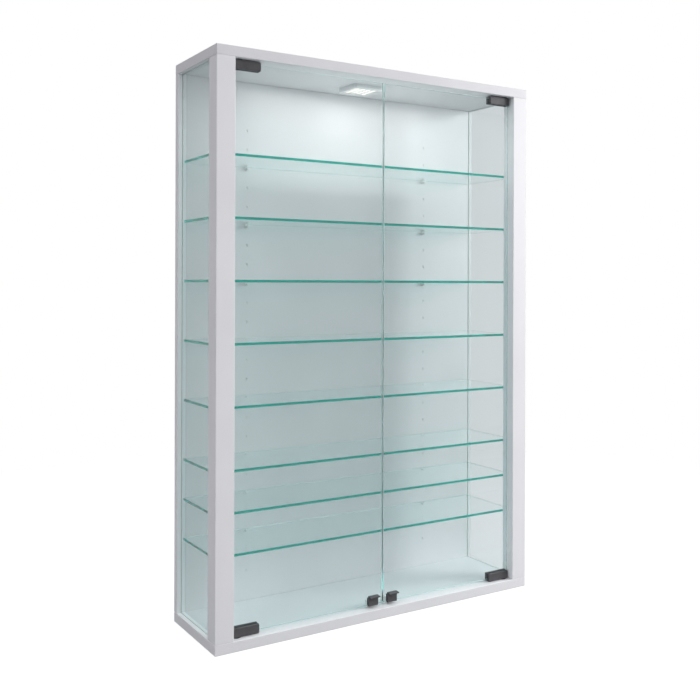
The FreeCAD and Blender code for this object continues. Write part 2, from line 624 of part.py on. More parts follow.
clamp_screw = rod("clamp_screw", "sizes.clamp_screw_radius", "0", "0", "0", CLAMP_SCREW_LENGTH, ALONG_Y)
pivot_pin = drill("pivot_pin", "sizes.pivot_radius", "0", "0", (f"-{WEB}", "sizes.pivot_reach"))
for name, sign in SIDES.items():
    pane = block(f"{name}_door_blank",
                 reach(sign, "sizes.door_meeting_gap / 2", f"{POST_INNER} - sizes.door_side_gap"),
                 (DOOR_FRONT, DOOR_BACK), (GLASS_FOOT, f"{CEILING} - sizes.door_end_gap"))
    add(f"{name}_door_glass", eased(pane, "sizes.glass_edge"))
    for level in LEVELS:
        add(f"{name}_{level}_hinge", hinge(name, sign, level))
    liners = [block(f"{name}_{level}_liner", reach(sign, HINGE_INNER, HINGE_OUTER), (SLOT_FRONT, DOOR_FRONT),
                    off_panel(level, "sizes.door_end_gap", HINGE_FAR)) for level in LEVELS]
    plates = [block(f"{name}_{level}_plate",
                    reach(sign, f"{HINGE_INNER} + sizes.plate_margin", f"{HINGE_OUTER} - sizes.plate_margin"),
                    (DOOR_BACK, PLATE_REAR),
                    off_panel(level, "sizes.door_end_gap + sizes.plate_margin", f"{HINGE_FAR} - sizes.plate_margin"))
              for level in LEVELS]
    for label, solids in ((f"{name}_hinge_liners", liners), (f"{name}_pressure_plates", plates)):
        group = doc.addObject("Part::Compound", label)
        group.Links = solids
        add(label, group)
    screw_spots = [place(x, PLATE_REAR, z) for level in LEVELS for x, z in clamp_screw_places(sign, level)]
    add(f"{name}_clamp_screws", copies(f"{name}_clamp_screws", clamp_screw, screw_spots))
    pin_spots = [place(f"{sign} * {PIVOT}", DOOR_MIDDLE, CEILING),
                 place(f"{sign} * {PIVOT}", DOOR_MIDDLE, FLOOR, -UP)]
    add(f"{name}_pivot_pins", copies(f"{name}_pivot_pins", pivot_pin, pin_spots))
    add(f"{name}_handle", handle(name, sign))

# Magnetic catches on the bottom panel, behind the clip handles
MAGNET_FOOT = f"({FLOOR} + sizes.magnet_lift)"
for name, sign in SIDES.items():
    label = f"{name}_catch_housing"
    middle = f"{sign} * {HANDLE_MIDDLE}"
    blank = block(f"{label}_blank", around(middle, "sizes.catch_width"), (CATCH_FRONT, CATCH_REAR),
                  (FLOOR, f"{FLOOR} + sizes.catch_height"))
    shell = rounded(blank, "sizes.catch_round")
    pocket = block(f"{label}_pocket", around(middle, "sizes.magnet_width + 2 * sizes.magnet_play"),
                   (f"{CATCH_FRONT} - sizes.overrun", f"{MAGNET_FRONT} + sizes.magnet_depth"),
                   (f"{MAGNET_FOOT} - sizes.magnet_play", f"{MAGNET_FOOT} + sizes.magnet_height + sizes.magnet_play"))
    x, y = catch_screw_spots[name]
    shaft = drill(f"{label}_screw_hole", SMALL_HOLE_RADIUS, x, y,
                  (f"{FLOOR} - sizes.overrun", f"{FLOOR} + sizes.catch_screw_seat"))
    well = drill(f"{label}_screw_well", "sizes.small_head_radius + sizes.screw_play", x, y,
                 (f"{FLOOR} + sizes.catch_screw_seat", f"{FLOOR} + sizes.catch_height + sizes.overrun"))
    add(label, cut(label, shell, [pocket, joined(f"{label}_screw_cut", [shaft, well])]))

magnet = block("magnet", around("0", "sizes.magnet_width"), ("0", "sizes.magnet_depth"),
               ("0", "sizes.magnet_height"))
add("catch_magnets", copies("catch_magnets", magnet,
                            [place(f"{sign} * {HANDLE_MIDDLE}", MAGNET_FRONT, MAGNET_FOOT)
                             for sign in SIDES.values()]))
small_screw = pan_screw("small_screw", "sizes.small_screw_radius", "sizes.small_screw_length",
                        "sizes.small_head_radius", "sizes.small_head_height")
add("catch_screws", copies("catch_screws", small_screw,
                           [place(x, y, f"{FLOOR} + sizes.catch_screw_seat")
                            for x, y in catch_screw_spots.values()]))

# Lamp under the top panel: a shallow tray, open below, with a clear cover on a ledge
LAMP_FOOT = f"({CEILING} - sizes.lamp_height)"
LAMP_CAVITY_TOP = f"({CEILING} - sizes.lamp_roof)"
CAVITY_WIDTH = "(sizes.lamp_width - 2 * sizes.lamp_wall)"
CAVITY_DEPTH = "(sizes.lamp_depth - 2 * sizes.lamp_wall)"
COVER_TOP = f"({LAMP_FOOT} + sizes.cover_thickness)"
tray = rounded(block("lamp_tray", around("0", "sizes.lamp_width"), around(LAMP_MIDDLE, "sizes.lamp_depth"),
                     (LAMP_FOOT, CEILING)), "sizes.lamp_corner")
cavity = block("lamp_cavity", around("0", CAVITY_WIDTH), around(LAMP_MIDDLE, CAVITY_DEPTH),
               (LAMP_FOOT, LAMP_CAVITY_TOP))
ledge = block("lamp_ledge", around("0", f"{CAVITY_WIDTH} + 2 * sizes.cover_ledge"),
              around(LAMP_MIDDLE, f"{CAVITY_DEPTH} + 2 * sizes.cover_ledge"),
              (f"{LAMP_FOOT} - sizes.overrun", COVER_TOP))
roof_span = (f"{LAMP_CAVITY_TOP} - sizes.overrun", f"{CEILING} + sizes.overrun")
roof_holes = [drill(f"lamp_screw_hole_{number}", SMALL_HOLE_RADIUS, x, y, roof_span)
              for number, (x, y) in enumerate(lamp_screw_spots)]
roof_holes.append(drill("lamp_lead_hole", "sizes.lead_radius + sizes.lead_hole_play", "0", LEAD, roof_span))
add("lamp_housing", cut("lamp_housing", tray, [joined("lamp_inside", [cavity, ledge] + roof_holes)]))

COVER_CUT = "2 * (sizes.cover_ledge - sizes.cover_play)"
add("lamp_cover", block("lamp_cover", around("0", f"{CAVITY_WIDTH} + {COVER_CUT}"),
                        around(LAMP_MIDDLE, f"{CAVITY_DEPTH} + {COVER_CUT}"), (LAMP_FOOT, COVER_TOP)))
CIRCUIT_FOOT = f"({LAMP_CAVITY_TOP} - sizes.circuit_thickness)"
add("lamp_circuit", block("lamp_circuit", around("0", "sizes.circuit_width"),
                          around(LAMP_MIDDLE, "sizes.circuit_width"), (CIRCUIT_FOOT, LAMP_CAVITY_TOP)))
chip = block("light_chip", around("0", "sizes.chip_width"), around("0", "sizes.chip_width"),
             ("-sizes.chip_height", "0"))
chip_steps = [f"{number - (CHIP_ROW_COUNT - 1) / 2} * sizes.chip_pitch" for number in range(CHIP_ROW_COUNT)]
add("lamp_chips", copies("lamp_chips", chip, [place(step_x, f"{LAMP_MIDDLE} + {step_y}", CIRCUIT_FOOT)
                                              for step_x in chip_steps for step_y in chip_steps]))
add("lamp_screws", copies("lamp_screws", small_screw,
                          [place(x, y, LAMP_CAVITY_TOP, -UP) for x, y in lamp_screw_spots]))

grommet_barrel = drill("grommet_barrel", "sizes.grommet_radius", "0", LEAD, (CEILING, "sizes.cabinet_height"))
grommet_flange = drill("grommet_flange", "sizes.grommet_flange_radius", "0", LEAD,
                       ("sizes.cabinet_height - sizes.grommet_flange_thickness", "sizes.cabinet_height"))
grommet_bore = drill("grommet_bore", "sizes.lead_radius", "0", LEAD,
                     (f"{CEILING} - sizes.overrun", "sizes.cabinet_height + sizes.overrun"))
add("lead_grommet", cut("lead_grommet", joined("grommet_blank", [grommet_barrel, grommet_flange]), [grommet_bore]))

# Hanger plates with keyholes, flush in the back of the back panel
hanger_shank = rod("hanger_shank", "sizes.hanger_screw_radius", "0", "0", "-sizes.hanger_screw_length",
                   "sizes.hanger_screw_length")
hanger_head = doc.addObject("Part::Cone", "hanger_screw_head")
hanger_head.setExpression("Radius1", "sizes.hanger_screw_radius")
hanger_head.setExpression("Radius2", "sizes.hanger_head_radius")
hanger_head.setExpression("Height", "sizes.hanger_head_height")
hanger_head.setExpression(".Placement.Base.z", "-sizes.hanger_head_height")
hanger_screw = joined("hanger_screw", [hanger_shank, hanger_head])
hanger_screw_spots = {name: [place(f"{sign} * {HANGER_X}", BACK, height, ALONG_Y) for height in hanger_screw_heights]
                      for name, sign in SIDES.items()}

for name, sign in SIDES.items():
    label = f"{name}_hanger_plate"
    middle = f"{sign} * {HANGER_X}"
    blank = block(f"{label}_blank", around(middle, "sizes.hanger_width"), (HANGER_FACE, BACK),
                  (HANGER_FOOT, HANGER_HEAD))
    through = "sizes.hanger_thickness + 2 * sizes.overrun"
    entry = rod(f"{label}_entry", "sizes.keyhole_entry_radius", middle, f"{HANGER_FACE} - sizes.overrun",
                HANGER_ENTRY, through, ALONG_Y)
    slot = block(f"{label}_slot", around(middle, "2 * sizes.keyhole_slot_radius"),
                 (f"{HANGER_FACE} - sizes.overrun", f"{BACK} + sizes.overrun"), (HANGER_ENTRY, KEYHOLE_TOP))
    slot_end = rod(f"{label}_slot_end", "sizes.keyhole_slot_radius", middle, f"{HANGER_FACE} - sizes.overrun",
                   KEYHOLE_TOP, through, ALONG_Y)
    keyhole = joined(f"{label}_keyhole", [entry, slot, slot_end])
    seats = copies(f"{label}_screw_seats", hanger_screw, hanger_screw_spots[name])
    add(label, cut(label, blank, [keyhole, seats]))
add("hanger_screws", copies("hanger_screws", hanger_screw,
                            hanger_screw_spots["left"] + hanger_screw_spots["right"]))

# Screws, plugs and dowels that join the panels to the posts and the back panel
board_screw = pan_screw("board_screw", "sizes.screw_radius", "sizes.screw_length", "sizes.screw_head_radius",
                        "sizes.screw_head_height")
SCREW_SEAT = "sizes.screw_well_depth"
upper_screws = [place(x, y, f"sizes.cabinet_height - {SCREW_SEAT}") for x, y in panel_screws]
lower_screws = [place(x, y, SCREW_SEAT, -UP) for x, y in panel_screws]
add("board_screws", copies("board_screws", board_screw, upper_screws + lower_screws))
plug = drill("plug", "sizes.screw_well_radius - sizes.plug_play", "0", "0",
             ("sizes.screw_head_height", SCREW_SEAT))
add("screw_plugs", copies("screw_plugs", plug, upper_screws + lower_screws))
dowel = drill("dowel", "sizes.dowel_radius", "0", "0", ("sizes.dowel_in_panel - sizes.dowel_length",
                                                        "sizes.dowel_in_panel"))
upper_dowels = [place(x, y, CEILING) for x, y in post_dowels.values()]
lower_dowels = [place(x, y, FLOOR, -UP) for x, y in post_dowels.values()]
add("dowels", copies("dowels", dowel, upper_dowels + lower_dowels))

# Checks and files
doc.recompute()
failed = [item.Label for item in doc.Objects if {"Invalid", "Error"} & set(item.State)]
if failed:
    raise RuntimeError(f"objects that failed to build: {failed}")
for item in pieces:
    if item.Shape.isNull() or not item.Shape.isValid() or not item.Shape.Solids:
        raise RuntimeError(f"piece without a valid solid: {item.Label}")

os.makedirs("parts", exist_ok=True)
for item in pieces:
    item.Shape.exportStep(f"parts/{item.Label}.step")
print(f"{len(pieces)} pieces written")
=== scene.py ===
"""Looks of a glazed wall display cabinet with two hinged glass doors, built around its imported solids.

Metres, in the frame of the solids: the origin is the middle of the underside, +X to the right, +Y to the
back, +Z up.
"""
import math

import bpy
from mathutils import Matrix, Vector


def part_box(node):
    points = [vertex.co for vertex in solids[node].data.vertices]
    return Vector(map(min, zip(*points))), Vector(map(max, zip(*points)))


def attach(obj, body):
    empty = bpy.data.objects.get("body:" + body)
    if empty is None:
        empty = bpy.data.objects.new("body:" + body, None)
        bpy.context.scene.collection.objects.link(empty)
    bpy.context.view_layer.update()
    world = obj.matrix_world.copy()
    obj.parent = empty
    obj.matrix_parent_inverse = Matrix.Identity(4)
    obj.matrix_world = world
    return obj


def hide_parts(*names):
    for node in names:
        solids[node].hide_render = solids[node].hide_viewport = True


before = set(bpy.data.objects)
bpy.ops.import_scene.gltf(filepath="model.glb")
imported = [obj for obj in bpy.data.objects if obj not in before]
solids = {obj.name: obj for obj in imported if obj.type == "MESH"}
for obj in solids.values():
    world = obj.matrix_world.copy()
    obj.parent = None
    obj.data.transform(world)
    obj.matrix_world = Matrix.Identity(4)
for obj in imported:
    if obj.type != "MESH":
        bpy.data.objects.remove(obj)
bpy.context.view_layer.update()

# Boards: the top and bottom panels, two front posts and the back, sawn from chipboard that is faced with
# white melamine film. White tape covers their edges, with its glue line as a hair line just inside each
# edge, and bare chips show in the drilled holes and the grooves. The top panel's film is a darker copy of
# the same white film, which is painted shade.
BOARDS = ("top_panel", "bottom_panel", "left_front_post", "right_front_post", "back_panel")
FILM_WHITE = (0.845, 0.842, 0.858, 1)
FILM_SHADE = (0.815, 0.812, 0.83, 1)
# Painted shade: the same white film as the other boards, made darker for the top panel alone
TOP_FILM_PAINTED_SHADE = (0.765, 0.76, 0.78, 1)
TOP_FILM_PAINTED_SHADE_DARKER = (0.735, 0.73, 0.752, 1)
FILM_DEPTH = 0.0008
FILM_CLOUD = 0.09
FILM_RUB = 0.015
FILM_ROUGHNESS = (0.34, 0.46)
FILM_PEARL = 0.0009
FILM_RELIEF = (0.00004, 0.5)
TAPE_THICKNESS = 0.0009
GLUE_LINE = (0.64, 0.63, 0.63, 1)
GLUE_LINE_HALF = 0.00008
CHIP_PALE = (0.93, 0.91, 0.87, 1)
CHIP_DARK = (0.84, 0.81, 0.75, 1)
CHIP_SIZE = 0.0018
GRAIN_REACH = (0.3, 0.7)


def new_material(name, finish):
    """A material and its main shader, with what is the same all over the surface set on the shader."""
    material = bpy.data.materials.new(name)
    material.use_nodes = True
    shader = material.node_tree.nodes["Principled BSDF"]
    for socket, amount in finish.items():
        shader.inputs[socket].default_value = amount
    return material, shader


def feed(material, taker, inputs):
    """Sets the inputs of a node, each to a number, a colour or the output that feeds it."""
    for socket, source in inputs.items():
        if isinstance(source, bpy.types.NodeSocket):
            material.node_tree.links.new(source, taker.inputs[socket])
        else:
            taker.inputs[socket].default_value = source


def add_node(material, kind, inputs, **settings):
    """A new node of a material with its settings and inputs."""
    made = material.node_tree.nodes.new(kind)
    for name, setting in settings.items():
        setattr(made, name, setting)
    feed(material, made, inputs)
    return made


def math_node(material, operation, *numbers):
    """The output of a sum on numbers or outputs."""
    return add_node(material, "ShaderNodeMath", dict(enumerate(numbers)), operation=operation).outputs[0]


def spots(material, stretch=(1, 1, 1)):
    """The piece's own coordinates, drawn out along an axis where its stretch is under 1."""
    place = add_node(material, "ShaderNodeTexCoord", {}).outputs["Object"]
    return add_node(material, "ShaderNodeMapping", {"Vector": place, "Scale": stretch}).outputs[0]


def grain(material, size, detail=3.0, stretch=(1, 1, 1)):
    """Soft noise with grains of about a size."""
    inputs = {"Vector": spots(material, stretch), "Scale": 1 / size, "Detail": detail}
    return add_node(material, "ShaderNodeTexNoise", inputs).outputs[0]


def shades(material, factor, first, second):
    """A colour that goes from the first to the second along a grain."""
    ramp = add_node(material, "ShaderNodeValToRGB", {0: factor})
    for element, position, colour in zip(ramp.color_ramp.elements, GRAIN_REACH, (first, second)):
        element.position, element.color = position, colour
    return ramp.outputs[0]


def over(material, mask, under, upper):
    """A colour laid over another where a mask is 1."""
    return add_node(material, "ShaderNodeMix", {0: mask, 6: under, 7: upper}, data_type="RGBA").outputs[2]


def between(material, factor, span, reach=GRAIN_REACH):
    """A number that goes through a span while a factor goes through its reach."""
    inputs = {"Value": factor, "From Min": reach[0], "From Max": reach[1],
              "To Min": span[0], "To Max": span[1]}
    return add_node(material, "ShaderNodeMapRange", inputs).outputs[0]


def relief(material, height, depth, strength):
    """A surface that a height raises by up to a depth, softened where its strength is under 1."""
    inputs = {"Height": height, "Distance": depth, "Strength": strength}
    return add_node(material, "ShaderNodeBump", inputs).outputs[0]


def vector_node(material, operation, *vectors):
    """The output of a sum on vectors or outputs."""
    inputs = dict(enumerate(vectors))
    return add_node(material, "ShaderNodeVectorMath", inputs, operation=operation).outputs[0]


def face_distances(material, low, high):
    """How deep a point lies under a box's nearest face, and how far it is from the box's nearest edge."""
    middle, half = (low + high) / 2, (high - low) / 2
    place = add_node(material, "ShaderNodeTexCoord", {}).outputs["Object"]
    spread = vector_node(material, "ABSOLUTE", vector_node(material, "SUBTRACT", place, middle))
    depth = vector_node(material, "SUBTRACT", half, spread)
    x, y, z = add_node(material, "ShaderNodeSeparateXYZ", {0: depth}).outputs
    lesser, greater = math_node(material, "MINIMUM", x, y), math_node(material, "MAXIMUM", x, y)
    to_face = math_node(material, "MINIMUM", lesser, z)
    to_edge = math_node(material, "MAXIMUM", lesser, math_node(material, "MINIMUM", greater, z))
    return to_face, to_edge


def dress(name, material):
    """Gives a solid its material."""
    solids[name].data.materials.clear()
    solids[name].data.materials.append(material)


for board in BOARDS:
    material, shader = new_material(f"{board}_film", {"IOR": 1.5, "Specular IOR Level": 0.4})
    to_face, to_edge = face_distances(material, *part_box(board))
    # The top panel takes the darker copy of the film, as painted shade
    tones = (TOP_FILM_PAINTED_SHADE_DARKER, TOP_FILM_PAINTED_SHADE) if board == "top_panel" else (FILM_SHADE, FILM_WHITE)
    film = shades(material, grain(material, FILM_CLOUD), *tones)
    glue = math_node(material, "COMPARE", to_edge, TAPE_THICKNESS, GLUE_LINE_HALF)
    chips = shades(material, grain(material, CHIP_SIZE), CHIP_DARK, CHIP_PALE)
    bare = math_node(material, "GREATER_THAN", to_face, FILM_DEPTH)
    pearl = grain(material, FILM_PEARL, detail=1.0)
    feed(material, shader, {
        "Base Color": over(material, bare, over(material, glue, film, GLUE_LINE), chips),
        "Roughness": between(material, grain(material, FILM_RUB), FILM_ROUGHNESS),
        "Normal": relief(material, pearl, *FILM_RELIEF)})
    dress(board, material)

# Joints of the boards: beech dowels glued in the post ends, and zinc plated steel screws driven through the
# panels into the posts and the back. Once the cabinet is together they are out of sight.
BEECH_PALE = (0.66, 0.46, 0.28, 1)
BEECH_DARK = (0.46, 0.29, 0.16, 1)
BEECH_FIBRE = 0.0012
BEECH_STRETCH = (1, 1, 0.08)
BEECH_ROUGHNESS = (0.75, 0.55)
BEECH_RELIEF = (0.0001, 0.6)
STEEL_PALE = (0.68, 0.69, 0.71, 1)
STEEL_DARK = (0.46, 0.47, 0.50, 1)
STEEL_CLOUD = 0.004
STEEL_LINES = 0.0005
STEEL_STRETCH = (1, 0.2, 1)
STEEL_ROUGHNESS = (0.22, 0.42)
STEEL_RELIEF = (0.00002, 0.5)

beech, shader = new_material("beech", {"IOR": 1.45})
fibres = grain(beech, BEECH_FIBRE, detail=5.0, stretch=BEECH_STRETCH)
feed(beech, shader, {"Base Color": shades(beech, fibres, BEECH_DARK, BEECH_PALE),
                     "Roughness": between(beech, fibres, BEECH_ROUGHNESS),
                     "Normal": relief(beech, fibres, *BEECH_RELIEF)})
dress("dowels", beech)

steel, shader = new_material("zinc_plated_steel", {"Metallic": 1.0})
cloud = grain(steel, STEEL_CLOUD)
lines = grain(steel, STEEL_LINES, detail=2.0, stretch=STEEL_STRETCH)
feed(steel, shader, {"Base Color": shades(steel, cloud, STEEL_DARK, STEEL_PALE),
                     "Roughness": between(steel, lines, STEEL_ROUGHNESS),
                     "Normal": relief(steel, lines, *STEEL_RELIEF)})
dress("board_screws", steel)

# Screw plugs: white moulded caps, pressed into the screw wells of the top and bottom panels until they lie
# flush. Each has a rounded rim and a shallow dish that the mould leaves in its face.
PLUG_RADIUS = 0.00495
PLUG_THICKNESS = 0.0015
PLUG_RIM = 0.0004
PLUG_LAND = 0.0011
PLUG_DISH = 0.0002
CABINET_TOP = 0.9
POST_SCREW_X, POST_SCREW_Y = 0.285, -0.077
BACK_SCREW_XS, BACK_SCREW_Y = (-0.27, -0.09, 0.09, 0.27), 0.079
LEFT_AND_RIGHT = (-1, 1)
UPRIGHT = (0, 0, 0)
UPSIDE_DOWN = (math.pi, 0, 0)
PLASTIC_WHITE = (0.83, 0.83, 0.82, 1)
PLASTIC_SHADE = (0.78, 0.78, 0.775, 1)
PLASTIC_CLOUD = 0.006
PLASTIC_ROUGHNESS = (0.38, 0.5)
PLASTIC_PEARL = 0.0004
PLASTIC_RELIEF = (0.00002, 0.6)
ROUND_SIDES = 48
SMOOTH_ANGLE = math.radians(40)
SAME_HEIGHT = 1e-6
SQUARE_ON = 0.99


def hold(*pieces):
    """Selects these pieces alone, with the last one active."""
    bpy.ops.object.select_all(action="DESELECT")
    for piece in pieces:
        piece.select_set(True)
    bpy.context.view_layer.objects.active = pieces[-1]


def double(piece):
    """A copy of a piece."""
    hold(piece)
    bpy.ops.object.duplicate()
    return bpy.context.object


def bar(radius, foot, head, sides=ROUND_SIDES):
    """A round bar from one height to another, with its place in its mesh."""
    bpy.ops.object.select_all(action="DESELECT")
    bpy.ops.mesh.primitive_cylinder_add(vertices=sides, radius=radius, depth=head - foot,
                                        location=(0, 0, (foot + head) / 2))
    bpy.ops.object.transform_apply()
    return bpy.context.object


def open_piece(piece, kind, test):
    """Opens a piece in edit mode with the faces or edges selected that a test picks."""
    hold(piece)
    bpy.ops.object.mode_set(mode="EDIT")
    bpy.ops.mesh.select_mode(type=kind)
    bpy.ops.mesh.select_all(action="DESELECT")
    bpy.ops.object.mode_set(mode="OBJECT")
    mesh = piece.data
    if kind == "FACE":
        for face in mesh.polygons:
            face.select = test(face.center, face.normal)
    else:
        for edge in mesh.edges:
            edge.select = all(test(mesh.vertices[end].co) for end in edge.vertices)
    bpy.ops.object.mode_set(mode="EDIT")


def close_piece():
    """Ends the edit mode and smooths what isn't an edge."""
    bpy.ops.object.mode_set(mode="OBJECT")
    bpy.ops.object.shade_smooth_by_angle(angle=SMOOTH_ANGLE)


def round_rim(piece, height, amount, segments=3):
    """Rounds the edges of a piece that lie at a height."""
    open_piece(piece, "EDGE", lambda end: abs(end.z - height) < SAME_HEIGHT)
    bpy.ops.mesh.bevel(offset=amount, segments=segments, affect="EDGES")
    close_piece()


def set_out(master, name, places):
    """Copies a master to each place with its turn, and joins the copies into one piece."""
    copies = []
    for place, turn in places:
        copy = double(master)
        copy.location, copy.rotation_euler = place, turn
        copies.append(copy)
    bpy.data.objects.remove(master)
    hold(*copies)
    bpy.ops.object.join()
    bpy.ops.object.transform_apply()
    piece = bpy.context.object
    piece.name = name
    return piece


plug = bar(PLUG_RADIUS, -PLUG_THICKNESS, 0)
round_rim(plug, 0, PLUG_RIM)
open_piece(plug, "FACE", lambda middle, normal: normal.z > SQUARE_ON)
bpy.ops.mesh.inset(thickness=PLUG_LAND)
bpy.ops.mesh.inset(thickness=PLUG_RIM, depth=-PLUG_DISH)
close_piece()
wells = [(x, BACK_SCREW_Y) for x in BACK_SCREW_XS]
wells += [(side * POST_SCREW_X, POST_SCREW_Y) for side in LEFT_AND_RIGHT]
top_places = [((x, y, CABINET_TOP), UPRIGHT) for x, y in wells]
bottom_places = [((x, y, 0), UPSIDE_DOWN) for x, y in wells]
plugs = set_out(plug, "plug_caps", top_places + bottom_places)

white_plastic, shader = new_material("white_moulded_plastic", {"IOR": 1.46})
cloud, pearl = grain(white_plastic, PLASTIC_CLOUD), grain(white_plastic, PLASTIC_PEARL)
feed(white_plastic, shader, {"Base Color": shades(white_plastic, cloud, PLASTIC_SHADE, PLASTIC_WHITE),
                             "Roughness": between(white_plastic, cloud, PLASTIC_ROUGHNESS),
                             "Normal": relief(white_plastic, pearl, *PLASTIC_RELIEF)})
plugs.data.materials.append(white_plastic)
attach(plugs, "cabinet")
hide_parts("screw_plugs")

# Side panes: clear float glass, 4 mm thick, slid into grooves in the posts, the panels and the back before
# the top goes on. The glass is faintly green, so that its long way through an edge is teal, and its edges
# are seamed, which leaves them matt.
GLASS_TEAL = (0.0, 0.84, 0.79, 1)
GLASS_DENSITY = 11.0
GLASS_INDEX = 1.5
GLASS_CLEAR = (1, 1, 1, 1)
GLASS_LET_THROUGH = (0.935, 0.937, 0.936, 1)
SMEAR_SIZE = 0.11
SMEAR_ROUGHNESS = (0.0, 0.03)
SMEAR_REACH = (0.55, 0.8)
EDGE_FACING = 0.9
GRIND_SIZE = 0.0007
GRIND_SMOOTHEST = 0.6
SEAMED_EDGE = (0.74, 1.0, 0.98, 1)
SEAMED_ROUGHNESS = 0.55


def blend(material, share, first, second):
    """A surface that goes from the first to the second along a share."""
    return add_node(material, "ShaderNodeMixShader", {0: share, 1: first, 2: second}).outputs[0]


def let_light_through(material, shader, share):
    """A clear surface that lets a share of the light of lamps and pale things straight through each face."""
    path = add_node(material, "ShaderNodeLightPath", {}).outputs
    clear = add_node(material, "ShaderNodeBsdfTransparent", {"Color": share}).outputs[0]
    lit = blend(material, path["Is Shadow Ray"], shader.outputs[0], clear)
    return blend(material, path["Is Diffuse Ray"], lit, clear)


def glass(name, thin_axis, edge_colour, edge_roughness):
    """Clear glass whose worked edges are those faces that don't look along its thin axis."""
    material, shader = new_material(name, {"Transmission Weight": 1.0, "IOR": GLASS_INDEX})
    facing = add_node(material, "ShaderNodeTexCoord", {}).outputs["Normal"]
    along = add_node(material, "ShaderNodeSeparateXYZ", {0: facing}).outputs[thin_axis]
    edge = math_node(material, "LESS_THAN", math_node(material, "ABSOLUTE", along), EDGE_FACING)
    smear = between(material, grain(material, SMEAR_SIZE, detail=6.0), SMEAR_ROUGHNESS, SMEAR_REACH)
    smoothest = GRIND_SMOOTHEST * edge_roughness
    ground = between(material, grain(material, GRIND_SIZE), (smoothest, edge_roughness))
    feed(material, shader, {"Base Color": over(material, edge, GLASS_CLEAR, edge_colour),
                            "Roughness": math_node(material, "MULTIPLY_ADD", edge, ground, smear)})
    tint = add_node(material, "ShaderNodeVolumeAbsorption", {"Color": GLASS_TEAL, "Density": GLASS_DENSITY})
    feed(material, material.node_tree.nodes["Material Output"], {
        "Surface": let_light_through(material, shader, GLASS_LET_THROUGH), "Volume": tint.outputs[0]})
    return material


pane_glass = glass("side_pane_glass", "X", SEAMED_EDGE, SEAMED_ROUGHNESS)
for name in ("left_side_glass", "right_side_glass"):
    dress(name, pane_glass)

# Shelf pins: moulded in white plastic, four to a shelf. A thin collar stops each pin at the board, and the
# top of its nose is flat for the glass to lie on.
PIN_SIDES = 32
PIN_RADIUS = 0.0025
PIN_BURY = 0.0085
PIN_REACH = 0.008
PIN_NOSE = 0.0006
PIN_FLAT = 0.002
COLLAR_RADIUS = 0.0036
COLLAR_THICKNESS = 0.0008
COLLAR_RIM = 0.00025
PIN_HEIGHTS = (0.739, 0.643, 0.547, 0.451, 0.355, 0.259, 0.195, 0.131)
REAR_PIN_X, REAR_PIN_Y = 0.181, 0.073
FRONT_PIN_X, FRONT_PIN_Y = 0.278, -0.056
# Turned by a quarter, the nose looks along -Y and the flat lies on top
TOWARDS_FRONT = (math.pi / 2, 0, 0)
TOWARDS_REAR = (math.pi / 2, 0, math.pi)


def grow(piece, height, radius_ratio, rise):
    """Widens the end face of a round piece at a height, and draws it out by a rise."""
    open_piece(piece, "FACE",
               lambda middle, normal: abs(middle.z - height) < SAME_HEIGHT and abs(normal.z) > SQUARE_ON)
    bpy.ops.mesh.extrude_region_move(TRANSFORM_OT_translate={"value": (0, 0, 0)})
    bpy.ops.transform.resize(value=(radius_ratio, radius_ratio, 1))
    bpy.ops.mesh.extrude_region_move(TRANSFORM_OT_translate={"value": (0, 0, rise)})
    close_piece()


# The pin is made standing on its buried end, with the board's face at height 0
shank = bar(PIN_RADIUS, -PIN_BURY, 0, PIN_SIDES)
grow(shank, 0, COLLAR_RADIUS / PIN_RADIUS, COLLAR_THICKNESS)
round_rim(shank, COLLAR_THICKNESS, COLLAR_RIM)
nose = bar(PIN_RADIUS, COLLAR_THICKNESS, PIN_REACH, PIN_SIDES)
round_rim(nose, PIN_REACH, PIN_NOSE)
open_piece(nose, "FACE", lambda middle, normal: True)
bpy.ops.mesh.bisect(plane_co=(0, PIN_FLAT, 0), plane_no=(0, 1, 0), use_fill=True, clear_outer=True)
close_piece()
hold(nose, shank)
bpy.ops.object.join()
front_master = double(shank)
rear_places = [((side * REAR_PIN_X, REAR_PIN_Y, height), TOWARDS_FRONT)
               for side in LEFT_AND_RIGHT for height in PIN_HEIGHTS]
rear_pins = set_out(shank, "back_row_pins", rear_places)
front_places = [((side * FRONT_PIN_X, FRONT_PIN_Y, height), TOWARDS_REAR)
                for side in LEFT_AND_RIGHT for height in PIN_HEIGHTS]
front_pins = set_out(front_master, "front_row_pins", front_places)
for piece, node in ((rear_pins, "rear_shelf_pins"), (front_pins, "front_shelf_pins")):
    piece.data.materials.append(white_plastic)
    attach(piece, "cabinet")
    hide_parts(node)

# Hole caps: small white moulded plugs with a soft rim and a dished face, pushed a little below flush into
# the pin holes that no shelf uses. They pull out when a shelf is moved.
CAP_SIDES = 24
CAP_RADIUS = 0.00248
CAP_LENGTH = 0.004
CAP_SINK = 0.0006
CAP_RIM = 0.0002
CAP_LAND = 0.0004
FIRST_HOLE, HOLE_PITCH, HOLE_COUNT = 0.067, 0.032, 24
hole_heights = [FIRST_HOLE + number * HOLE_PITCH for number in range(HOLE_COUNT)]
free_heights = [height for height in hole_heights
                if min(abs(height - pin) for pin in PIN_HEIGHTS) > HOLE_PITCH / 2]
hole_rows = ((REAR_PIN_X, REAR_PIN_Y, TOWARDS_FRONT), (FRONT_PIN_X, FRONT_PIN_Y, TOWARDS_REAR))
cap_places = [((side * x, y, height), turn)
              for side in LEFT_AND_RIGHT for height in free_heights for x, y, turn in hole_rows]

cap = bar(CAP_RADIUS, -CAP_LENGTH, -CAP_SINK, CAP_SIDES)
round_rim(cap, -CAP_SINK, CAP_RIM, segments=2)
open_piece(cap, "FACE", lambda middle, normal: normal.z > SQUARE_ON)
bpy.ops.mesh.inset(thickness=CAP_LAND)
bpy.ops.mesh.inset(thickness=CAP_LAND, depth=-CAP_RIM)
close_piece()
caps = set_out(cap, "hole_caps", cap_places)
caps.data.materials.append(white_plastic)
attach(caps, "cabinet")

